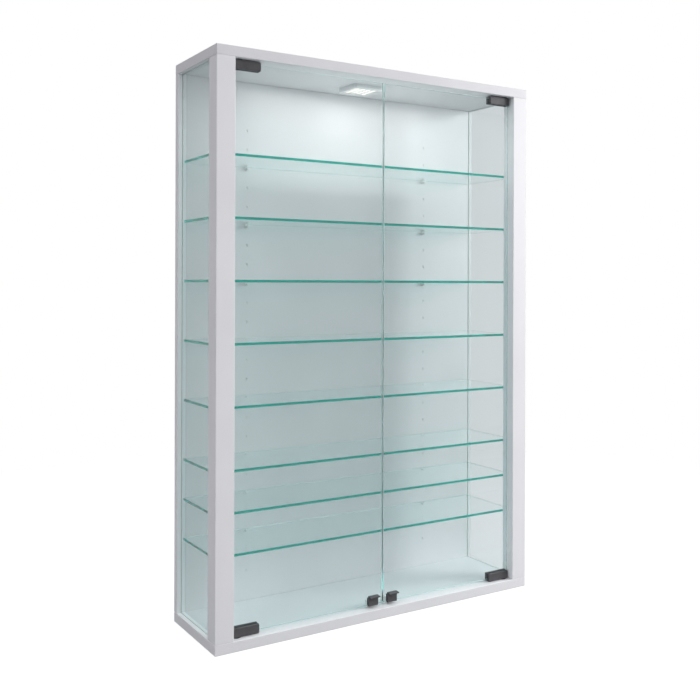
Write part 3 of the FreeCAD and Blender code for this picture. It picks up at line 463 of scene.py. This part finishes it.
# Shelves: eight plates of the same float glass, 4 mm thick, with polished, lightly chamfered edges. Each
# lies loose on four pins, so that it can be lifted out and moved.
SHELF_COUNT = 8
POLISHED_EDGE = (0.0, 0.68, 0.58, 1)
POLISHED_ROUGHNESS = 0.16
shelf_glass = glass("shelf_glass", "Z", POLISHED_EDGE, POLISHED_ROUGHNESS)
for number in range(1, SHELF_COUNT + 1):
    dress(f"glass_shelf_{number}", shelf_glass)

# Pivots: zinc plated steel pins that stand out of the hinges, and the bushes that they turn in, which are
# moulded in black plastic and pressed into the top and bottom panels.
BUSH_BLACK = (0.022, 0.022, 0.023, 1)
BUSH_SHADE = (0.014, 0.014, 0.015, 1)
BUSH_CLOUD = 0.003
BUSH_ROUGHNESS = (0.4, 0.55)
BUSH_PEARL = 0.0003
BUSH_RELIEF = (0.00002, 0.6)
for name in ("left_pivot_pins", "right_pivot_pins"):
    dress(name, steel)
black_plastic, shader = new_material("black_moulded_plastic", {"IOR": 1.46})
cloud, pearl = grain(black_plastic, BUSH_CLOUD), grain(black_plastic, BUSH_PEARL)
feed(black_plastic, shader, {"Base Color": shades(black_plastic, cloud, BUSH_SHADE, BUSH_BLACK),
                             "Roughness": between(black_plastic, cloud, BUSH_ROUGHNESS),
                             "Normal": relief(black_plastic, pearl, *BUSH_RELIEF)})
dress("pivot_bushes", black_plastic)

# Doors: two plates of float glass, 4 mm thick, set back a little from the front of the posts. They have
# seamed edges, no frame and no holes, and are held by their hinges' grip alone.
door_glass = glass("door_glass", "Y", SEAMED_EDGE, SEAMED_ROUGHNESS)
for name in ("left_door_glass", "right_door_glass"):
    dress(name, door_glass)

# Clamp hinges: die cast channels, powder coated in a satin charcoal black, that grip a corner of the door's
# glass between a soft rubber liner and a pressure plate in the same coat.
COAT_PALE = (0.106, 0.104, 0.110, 1)
COAT_DARK = (0.082, 0.080, 0.085, 1)
COAT_CLOUD = 0.012
COAT_PEARL = 0.0005
COAT_ROUGHNESS = (0.42, 0.54)
COAT_RELIEF = (0.00003, 0.6)
RUBBER_PALE = (0.030, 0.030, 0.031, 1)
RUBBER_DARK = (0.017, 0.017, 0.018, 1)
RUBBER_BLOOM = 0.002
RUBBER_ROUGHNESS = (0.65, 0.85)
RUBBER_PEARL = 0.0004
RUBBER_RELIEF = (0.00004, 0.7)

charcoal, shader = new_material("charcoal_powder_coat", {"IOR": 1.45, "Metallic": 0.1,
                                                         "Specular IOR Level": 0.4})
cloud, pearl = grain(charcoal, COAT_CLOUD), grain(charcoal, COAT_PEARL, detail=1.0)
feed(charcoal, shader, {"Base Color": shades(charcoal, cloud, COAT_DARK, COAT_PALE),
                        "Roughness": between(charcoal, pearl, COAT_ROUGHNESS),
                        "Normal": relief(charcoal, pearl, *COAT_RELIEF)})
rubber, shader = new_material("black_rubber", {"IOR": 1.5})
bloom, pearl = grain(rubber, RUBBER_BLOOM), grain(rubber, RUBBER_PEARL)
feed(rubber, shader, {"Base Color": shades(rubber, bloom, RUBBER_DARK, RUBBER_PALE),
                      "Roughness": between(rubber, bloom, RUBBER_ROUGHNESS),
                      "Normal": relief(rubber, pearl, *RUBBER_RELIEF)})
for side in ("left", "right"):
    for node in ("upper_hinge", "lower_hinge", "pressure_plates"):
        dress(f"{side}_{node}", charcoal)
    dress(f"{side}_hinge_liners", rubber)

# Clamping screws: hardened steel grub screws with a hexagon socket, turned in through the back of each
# hinge against its pressure plate.
GRUB_SIDES = 36
GRUB_RADIUS = 0.002
GRUB_LENGTH = 0.0046
GRUB_RIM = 0.0003
SOCKET_SIDES = 6
SOCKET_RADIUS = 0.00115
SOCKET_DEPTH = 0.002
GRUB_XS = (0.233, 0.251)
GRUB_Y = -0.0665
GRUB_HEIGHTS = (0.026, 0.874)
TOWARDS_BACK = (-math.pi / 2, 0, 0)


def cut_away(piece, cutter):
    """Takes a cutter away from a piece."""
    hold(piece)
    bpy.ops.object.modifier_add(type="BOOLEAN")
    modifier = piece.modifiers[-1]
    modifier.object, modifier.operation, modifier.solver = cutter, "DIFFERENCE", "EXACT"
    bpy.ops.object.modifier_apply(modifier=modifier.name)
    bpy.data.objects.remove(cutter)
    bpy.ops.object.shade_smooth_by_angle(angle=SMOOTH_ANGLE)


for side, sign in zip(("left", "right"), LEFT_AND_RIGHT):
    grub = bar(GRUB_RADIUS, 0, GRUB_LENGTH, GRUB_SIDES)
    round_rim(grub, GRUB_LENGTH, GRUB_RIM)
    cut_away(grub, bar(SOCKET_RADIUS, GRUB_LENGTH - SOCKET_DEPTH, GRUB_LENGTH + SOCKET_DEPTH, SOCKET_SIDES))
    grub_places = [((sign * x, GRUB_Y, z), TOWARDS_BACK) for x in GRUB_XS for z in GRUB_HEIGHTS]
    grubs = set_out(grub, f"{side}_grub_screws", grub_places)
    grubs.data.materials.append(steel)
    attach(grubs, f"{side}_door")
    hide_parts(f"{side}_clamp_screws")

# Clip handles: sheet steel folded round the lower edge of the glass, with a finger lip along the top of the
# front, in the same charcoal coat as the hinges. The steel back of the clip is what the magnet holds.
for side in ("left", "right"):
    dress(f"{side}_handle", charcoal)

# Magnetic catches: white plastic housings screwed to the bottom panel behind the clips, each with a ferrite
# magnet that stands a little proud of its pocket.
MAGNET_PALE = (0.075, 0.075, 0.08, 1)
MAGNET_DARK = (0.04, 0.04, 0.043, 1)
MAGNET_SCUFF = 0.0008
MAGNET_STRETCH = (0.15, 1, 1)
MAGNET_ROUGHNESS = (0.35, 0.6)
MAGNET_RELIEF = (0.00003, 0.5)
for side in ("left", "right"):
    dress(f"{side}_catch_housing", white_plastic)
ferrite, shader = new_material("ground_ferrite", {"IOR": 1.8})
scuff = grain(ferrite, MAGNET_SCUFF, stretch=MAGNET_STRETCH)
feed(ferrite, shader, {"Base Color": shades(ferrite, scuff, MAGNET_DARK, MAGNET_PALE),
                       "Roughness": between(ferrite, scuff, MAGNET_ROUGHNESS),
                       "Normal": relief(ferrite, scuff, *MAGNET_RELIEF)})
dress("catch_magnets", ferrite)

# Small pan head screws: zinc plated steel, with a domed head and a cross recess. Two hold the catches down
# on the bottom panel, and two hold the lamp up under the top panel.
PAN_RADIUS = 0.0026
PAN_HEIGHT = 0.0016
PAN_CROWN = 0.0009
SHANK_RADIUS = 0.0015
SHANK_LENGTH = 0.0098
RECESS_LENGTH = 0.0029
RECESS_WIDTH = 0.00065
RECESS_DEPTH = 0.0009
CATCH_SCREW_X, CATCH_SCREW_Y, CATCH_SCREW_Z = 0.0185, -0.0585, 0.02
LAMP_SCREW_X, LAMP_SCREW_Y, LAMP_SCREW_Z = 0.0218, 0.003, 0.8825


def block(size, middle):
    """A box of a size about a middle, with its place in its mesh."""
    bpy.ops.object.select_all(action="DESELECT")
    bpy.ops.mesh.primitive_cube_add(size=1, scale=size, location=middle)
    bpy.ops.object.transform_apply()
    return bpy.context.object


def cross_recess(piece, head):
    """Presses a cross recess into the head of a screw, which ends at a height."""
    for width, depth in ((RECESS_LENGTH, RECESS_WIDTH), (RECESS_WIDTH, RECESS_LENGTH)):
        cut_away(piece, block((width, depth, 2 * RECESS_DEPTH), (0, 0, head)))


pan = bar(PAN_RADIUS, 0, PAN_HEIGHT)
round_rim(pan, PAN_HEIGHT, PAN_CROWN, segments=5)
grow(pan, 0, SHANK_RADIUS / PAN_RADIUS, -SHANK_LENGTH)
cross_recess(pan, PAN_HEIGHT)
lamp_pan = double(pan)
catch_places = [((side * CATCH_SCREW_X, CATCH_SCREW_Y, CATCH_SCREW_Z), UPRIGHT) for side in LEFT_AND_RIGHT]
catch_screws = set_out(pan, "catch_pan_screws", catch_places)
lamp_places = [((side * LAMP_SCREW_X, LAMP_SCREW_Y, LAMP_SCREW_Z), UPSIDE_DOWN) for side in LEFT_AND_RIGHT]
lamp_screws = set_out(lamp_pan, "lamp_pan_screws", lamp_places)
for piece, node in ((catch_screws, "catch_screws"), (lamp_screws, "lamp_screws")):
    piece.data.materials.append(steel)
    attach(piece, "cabinet")
    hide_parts(node)

# Lamp housing: a shallow square tray, milled from aluminium and satin anodised, screwed under the top
# panel. Its clear acrylic cover sits on a ledge inside the rim.
ANODISED_PALE = (0.80, 0.82, 0.83, 1)
ANODISED_DARK = (0.68, 0.70, 0.71, 1)
ANODISED_LINES = 0.0006
ANODISED_STRETCH = (0.04, 1, 1)
ANODISED_ROUGHNESS = (0.3, 0.45)
ANODISED_RELIEF = (0.00002, 0.5)
COVER_RUB = 0.004
COVER_ROUGHNESS = (0.02, 0.05)
anodised, shader = new_material("anodised_aluminium", {"Metallic": 0.6})
lines = grain(anodised, ANODISED_LINES, stretch=ANODISED_STRETCH)
feed(anodised, shader, {"Base Color": shades(anodised, lines, ANODISED_DARK, ANODISED_PALE),
                        "Roughness": between(anodised, lines, ANODISED_ROUGHNESS),
                        "Normal": relief(anodised, lines, *ANODISED_RELIEF)})
dress("lamp_housing", anodised)

acrylic, shader = new_material("clear_acrylic", {"Base Color": GLASS_CLEAR, "Transmission Weight": 1.0,
                                                 "IOR": 1.49})
feed(acrylic, shader, {"Roughness": between(acrylic, grain(acrylic, COVER_RUB), COVER_ROUGHNESS)})
feed(acrylic, acrylic.node_tree.nodes["Material Output"], {
    "Surface": let_light_through(acrylic, shader, GLASS_CLEAR)})
dress("lamp_cover", acrylic)

# Lamp circuit: a square aluminium board under grey solder resist, which lies in the housing behind the
# cover. The tracks between its chips show faintly.
RESIST_GREY = (0.17, 0.175, 0.175, 1)
RESIST_RUB = 0.001
RESIST_ROUGHNESS = (0.3, 0.42)
TRACK_GREY = (0.12, 0.125, 0.125, 1)
TRACK_PITCH = 0.0105
TRACK_WIDTH = 0.0004
TRACK_RELIEF = (0.00003, 1.0)
resist, shader = new_material("grey_solder_resist", {"IOR": 1.5})
greys, tracks = add_node(resist, "ShaderNodeTexBrick", {
    "Vector": spots(resist), "Color1": RESIST_GREY, "Color2": RESIST_GREY, "Mortar": TRACK_GREY,
    "Scale": 1.0, "Mortar Size": TRACK_WIDTH, "Mortar Smooth": 0.1, "Brick Width": TRACK_PITCH,
    "Row Height": TRACK_PITCH}).outputs
feed(resist, shader, {"Base Color": greys,
                      "Roughness": between(resist, grain(resist, RESIST_RUB), RESIST_ROUGHNESS),
                      "Normal": relief(resist, tracks, *TRACK_RELIEF)})
dress("lamp_circuit", resist)

# Light chips: sixteen white packages soldered to the circuit in four rows, each under a wide, flat, round
# lens that glows.
CHIP_WIDTH = 0.003
CHIP_HEIGHT = 0.001
CHIP_EDGE = 0.0002
CHIP_RIM = 0.0003
CHIP_SINK = 0.00015
LENS_SEGMENTS, LENS_RINGS = 24, 12
LENS_RADIUS = 0.0038
LENS_RISE = 0.06
CHIP_STEPS = (-0.01575, -0.00525, 0.00525, 0.01575)
LAMP_Y = 0.003
CIRCUIT_FOOT = 0.8813
LENS_PALE = (1.0, 0.95, 0.8, 1)
LENS_DARK = (0.9, 0.82, 0.6, 1)
LENS_GRAIN = 0.0006
GLOW = (1.0, 0.98, 0.94, 1)
GLOW_STRENGTH = 1.5
chip_places = [((x, LAMP_Y + y, CIRCUIT_FOOT), UPRIGHT) for x in CHIP_STEPS for y in CHIP_STEPS]

package = block((CHIP_WIDTH, CHIP_WIDTH, CHIP_HEIGHT), (0, 0, -CHIP_HEIGHT / 2))
open_piece(package, "EDGE", lambda end: True)
bpy.ops.mesh.bevel(offset=CHIP_EDGE, segments=2, affect="EDGES")
close_piece()
open_piece(package, "FACE", lambda middle, normal: normal.z < -SQUARE_ON)
bpy.ops.mesh.inset(thickness=CHIP_RIM)
bpy.ops.mesh.inset(thickness=CHIP_SINK, depth=-CHIP_SINK)
close_piece()
packages = set_out(package, "chip_packages", chip_places)
packages.data.materials.append(white_plastic)

bpy.ops.object.select_all(action="DESELECT")
bpy.ops.mesh.primitive_uv_sphere_add(segments=LENS_SEGMENTS, ring_count=LENS_RINGS, radius=LENS_RADIUS)
lens = bpy.context.object
open_piece(lens, "FACE", lambda middle, normal: True)
bpy.ops.mesh.bisect(plane_co=(0, 0, 0), plane_no=(0, 0, 1), use_fill=True, clear_outer=True)
bpy.ops.mesh.select_all(action="SELECT")
bpy.ops.transform.resize(value=(1, 1, LENS_RISE))
bpy.ops.transform.translate(value=(0, 0, CHIP_SINK - CHIP_HEIGHT))
close_piece()
lenses = set_out(lens, "chip_lenses", chip_places)
glow, shader = new_material("glowing_lens", {"Emission Color": GLOW, "Emission Strength": GLOW_STRENGTH,
                                             "Roughness": 0.2})
feed(glow, shader, {"Base Color": shades(glow, grain(glow, LENS_GRAIN), LENS_DARK, LENS_PALE)})
lenses.data.materials.append(glow)
for piece in (packages, lenses):
    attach(piece, "cabinet")
    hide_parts("lamp_chips")

# Lead grommet: a soft black rubber ring pressed into the top panel, where the lamp's lead leaves, with a
# flat flange let in flush with the top.
GROMMET_RADIUS = 0.0045
GROMMET_FOOT = 0.884
FLANGE_RADIUS = 0.007
FLANGE_FOOT = 0.899
FLANGE_THICKNESS = 0.001
FLANGE_RIM = 0.0005
LEAD_RADIUS = 0.0025
LEAD_Y = 0.0245
grommet = bar(GROMMET_RADIUS, GROMMET_FOOT, FLANGE_FOOT)
grow(grommet, FLANGE_FOOT, FLANGE_RADIUS / GROMMET_RADIUS, FLANGE_THICKNESS)
cut_away(grommet, bar(LEAD_RADIUS, GROMMET_FOOT - FLANGE_THICKNESS, CABINET_TOP + FLANGE_THICKNESS))
round_rim(grommet, CABINET_TOP, FLANGE_RIM)
grommet = set_out(grommet, "lead_ring", [((0, LEAD_Y, 0), UPRIGHT)])
grommet.data.materials.append(rubber)
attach(grommet, "cabinet")
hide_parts("lead_grommet")

# Hanger plates: zinc plated steel with a keyhole each, let in flush with the back. Two countersunk screws
# with a cross recess hold each plate.
SUNK_RADIUS = 0.0029
SUNK_HEIGHT = 0.0014
SUNK_NECK = 0.98
SUNK_SHANK = 0.0074
HANGER_X = 0.23
HANGER_SCREW_HEIGHTS = (0.817, 0.855)
BACK_FACE = 0.085
for side in ("left", "right"):
    dress(f"{side}_hanger_plate", steel)
bpy.ops.object.select_all(action="DESELECT")
bpy.ops.mesh.primitive_cone_add(vertices=ROUND_SIDES, radius1=SHANK_RADIUS, radius2=SUNK_RADIUS,
                                depth=SUNK_HEIGHT, location=(0, 0, -SUNK_HEIGHT / 2))
bpy.ops.object.transform_apply()
sunk = bpy.context.object
grow(sunk, -SUNK_HEIGHT, SUNK_NECK, -SUNK_SHANK)
cross_recess(sunk, 0)
hanger_places = [((side * HANGER_X, BACK_FACE, height), TOWARDS_BACK)
                 for side in LEFT_AND_RIGHT for height in HANGER_SCREW_HEIGHTS]
hanger_screws = set_out(sunk, "hanger_sunk_screws", hanger_places)
hanger_screws.data.materials.append(steel)
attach(hanger_screws, "cabinet")
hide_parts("hanger_screws")

# Stage: a pale floor that takes the cabinet's shadow, in a surround that is white to the camera and pale
# grey through the glass. Soft walls to the left, in front and to the right and a bright ceiling light the
# cabinet, and its gloss mirrors a dim studio with one pale wall to the right.
WHITE = (1, 1, 1, 1)
THROUGH_GLASS = (0.70, 0.69, 0.71, 1)
AMBIENT = ((-180, 0.0), (-104, 0.0), (-97, 1.42), (-52, 1.42), (-44, 0.1), (-20, 0.1), (-12, 0.7),
           (16, 0.7), (24, 0.05), (57, 0.05), (64, 0.87), (116, 0.87), (124, 0.0), (180, 0.0))
STUDIO = ((-180, 0.05), (-100, 0.05), (-60, 0.1), (0, 0.08), (38.4, 0.08), (39.4, 0.5), (90, 0.5),
          (180, 0.1))
WALL_BLUE = 1.04
OVERHEAD = (2.33, 2.33, 2.39, 1)
OVERHEAD_REACH = (0.75, 0.95)
BOUNCED = 0.5
FLOOR_SIDES = 96
FLOOR_RADIUS = 30.0
FLOOR_LEVEL = -0.0003
FLOOR_PALE = (0.80, 0.80, 0.81, 1)
FLOOR_BOUNCE = (0.35, 0.35, 0.355, 1)
FLOOR_GLOW = 1.3
SHADOW_REACH = (0.45, 1.5)
SHADOW_WEIGHT = 0.35

scene = bpy.context.scene
scene.view_settings.view_transform = "Standard"
scene.cycles.max_bounces = 32
scene.cycles.glossy_bounces = 24
scene.cycles.transmission_bounces = 32
scene.cycles.transparent_max_bounces = 32

world = bpy.data.worlds.new("surround")
world.use_nodes = True
scene.world = world
path = add_node(world, "ShaderNodeLightPath", {}).outputs
look = add_node(world, "ShaderNodeTexCoord", {}).outputs["Generated"]
right, back, up = add_node(world, "ShaderNodeSeparateXYZ", {0: look}).outputs
bearing = math_node(world, "ARCTAN2", right, math_node(world, "MULTIPLY", back, -1))
turn = between(world, bearing, (0, 1), (-math.pi, math.pi))


def walls(levels):
    """The brightness of the surround by bearing, in degrees to the right of the front."""
    ramp = add_node(world, "ShaderNodeValToRGB", {0: turn})
    stops = ramp.color_ramp.elements
    for degrees, _ in levels[1:-1]:
        stops.new((degrees + 180) / 360)
    for stop, (_, level) in zip(stops, levels):
        stop.color = (level, level, WALL_BLUE * level, 1)
    return ramp.outputs[0]


def straight(material, path, kind):
    """1 for a ray of a kind that hasn't met a matt surface on its way, and otherwise 0."""
    first = math_node(material, "LESS_THAN", path["Diffuse Depth"], BOUNCED)
    return math_node(material, "MULTIPLY", path[kind], first)


overhead = between(world, up, (0, 1), OVERHEAD_REACH)
studio = over(world, overhead, walls(STUDIO), OVERHEAD)
ambient = over(world, overhead, walls(AMBIENT), OVERHEAD)
mirrored = over(world, straight(world, path, "Is Glossy Ray"), ambient, studio)
seen = over(world, straight(world, path, "Is Transmission Ray"), mirrored, THROUGH_GLASS)
feed(world, world.node_tree.nodes["Background"], {"Color": over(world, path["Is Camera Ray"], seen, WHITE)})

bpy.ops.object.select_all(action="DESELECT")
bpy.ops.mesh.primitive_circle_add(vertices=FLOOR_SIDES, radius=FLOOR_RADIUS, fill_type="NGON",
                                  location=(0, 0, FLOOR_LEVEL))
floor = bpy.context.object
floor.name = "floor"
floor.visible_glossy = False
floor_paint, shader = new_material("pale_floor", {"Base Color": FLOOR_PALE, "Roughness": 0.9})
path = add_node(floor_paint, "ShaderNodeLightPath", {}).outputs
spot = add_node(floor_paint, "ShaderNodeTexCoord", {}).outputs["Object"]
away = add_node(floor_paint, "ShaderNodeVectorMath", {0: spot}, operation="LENGTH").outputs["Value"]
lit = between(floor_paint, away, (SHADOW_WEIGHT, 0.0), SHADOW_REACH)
strength = between(floor_paint, away, (FLOOR_GLOW, 1.0), SHADOW_REACH)
white = add_node(floor_paint, "ShaderNodeEmission", {"Color": WHITE, "Strength": strength}).outputs[0]
pale = add_node(floor_paint, "ShaderNodeEmission", {"Color": THROUGH_GLASS}).outputs[0]
bounce = add_node(floor_paint, "ShaderNodeBsdfDiffuse", {"Color": FLOOR_BOUNCE}).outputs[0]
shown = blend(floor_paint, lit, white, shader.outputs[0])
behind = blend(floor_paint, lit, pale, shader.outputs[0])
plain = blend(floor_paint, straight(floor_paint, path, "Is Transmission Ray"), bounce, behind)
final = blend(floor_paint, path["Is Camera Ray"], plain, shown)
feed(floor_paint, floor_paint.node_tree.nodes["Material Output"], {"Surface": final})
floor.data.materials.append(floor_paint)

# Light: one large soft lamp from the front right, and the cabinet's own lamp, which shines down through its
# cover. Two more inside stand in for the light that its haze and the boards throw about: one spreads out
# under the top, and one rises to it.
KEY_PLACE = (2.6, -1.4, 1.2)
KEY_AIM = (0, 0, 0.45)
KEY_SIZE = (1.2, 1.2)
KEY_POWER = 70.0
LAMP_PLACE = (0, LAMP_Y, 0.8755)
LAMP_AIM = (0, LAMP_Y, 0)
LAMP_SIZE = (0.04, 0.04)
LAMP_POWER = 0.03
LAMP_COLOUR = (1.0, 0.985, 0.96)
HAZE_PLACE = (0, LAMP_Y, 0.879)
HAZE_SIZE = (0.38, 0.09)
HAZE_POWER = 0.135
RISE_PLACE = (0, -0.035, 0.70)
RISE_AIM = (0, -0.035, 1)
RISE_POWER = 0.2


def soft_lamp(name, place, aim, size, power, colour=(1, 1, 1)):
    """A soft lamp of a width and a depth at a place that shines at an aim."""
    light = bpy.data.lights.new(name, "AREA")
    light.shape, (light.size, light.size_y) = "RECTANGLE", size
    light.energy, light.color = power, colour
    lamp = bpy.data.objects.new(name, light)
    scene.collection.objects.link(lamp)
    lamp.location = place
    lamp.rotation_euler = (Vector(aim) - Vector(place)).to_track_quat("-Z", "Y").to_euler()
    lamp.visible_camera = lamp.visible_transmission = False
    return lamp


soft_lamp("key_lamp", KEY_PLACE, KEY_AIM, KEY_SIZE, KEY_POWER)
inner_lamps = (soft_lamp("cabinet_lamp", LAMP_PLACE, LAMP_AIM, LAMP_SIZE, LAMP_POWER, LAMP_COLOUR),
               soft_lamp("lamp_haze", HAZE_PLACE, LAMP_AIM, HAZE_SIZE, HAZE_POWER, LAMP_COLOUR),
               soft_lamp("lamp_rise", RISE_PLACE, RISE_AIM, HAZE_SIZE, RISE_POWER, LAMP_COLOUR))
for lamp in inner_lamps:
    lamp.visible_glossy = False

# Camera: level, a little above the middle of the cabinet and to its left, as in the photograph. The lens's
# axis meets the picture a little right of its middle and above it.
PICTURE_SIDE = 700
FOCAL_PIXELS = 924.094
CENTRE_PIXEL = (381.951, 283.236)
CAMERA_PLACE = (-0.828992, -1.3541, 0.548371)
CAMERA_YAW = math.radians(-32.805)
CAMERA_ROLL = math.radians(0.175)

view = bpy.data.cameras.new("camera")
view.lens = FOCAL_PIXELS / PICTURE_SIDE * view.sensor_width
view.shift_x = 0.5 - CENTRE_PIXEL[0] / PICTURE_SIDE
view.shift_y = CENTRE_PIXEL[1] / PICTURE_SIDE - 0.5
camera = bpy.data.objects.new("camera", view)
scene.collection.objects.link(camera)
camera.location = CAMERA_PLACE
camera.rotation_euler = (math.pi / 2, -CAMERA_ROLL, CAMERA_YAW)
scene.camera = camera
